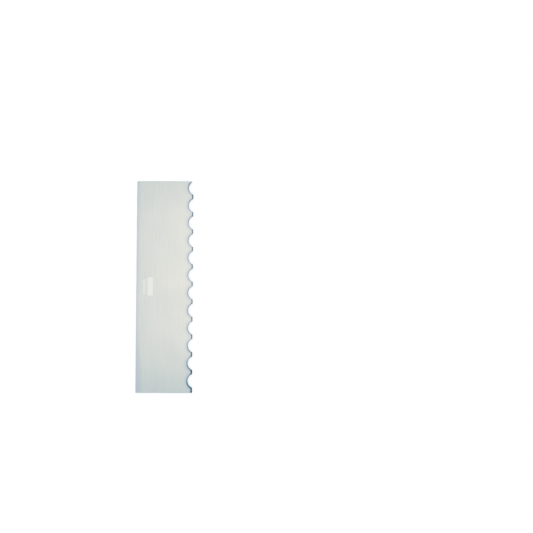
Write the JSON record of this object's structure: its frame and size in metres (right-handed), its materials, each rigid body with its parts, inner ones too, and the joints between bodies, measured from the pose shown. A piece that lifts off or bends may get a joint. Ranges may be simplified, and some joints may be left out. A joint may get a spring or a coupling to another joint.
{
  "type": "cake side scraper",
  "caption": "Flat satin steel scraper with one straight edge and one edge of round notches, held upright against an iced cake to comb ridges into its side.",
  "frame": {"origin": "middle of the back face, which lies on the worktop", "axes": "+Z out of the front face, +X towards the notched edge, +Y along the blade towards the top end, the one whose corner runs into the first notch"},
  "size_m": [0.0676, 0.255, 0.002],
  "materials": {
    "satin_steel": "satin stainless steel sheet, pale neutral grey, with darker blue-grey cut edges"
  },
  "bodies": {
    "root": {"scraper_blade": "satin_steel"}
  },
  "joints": []
}
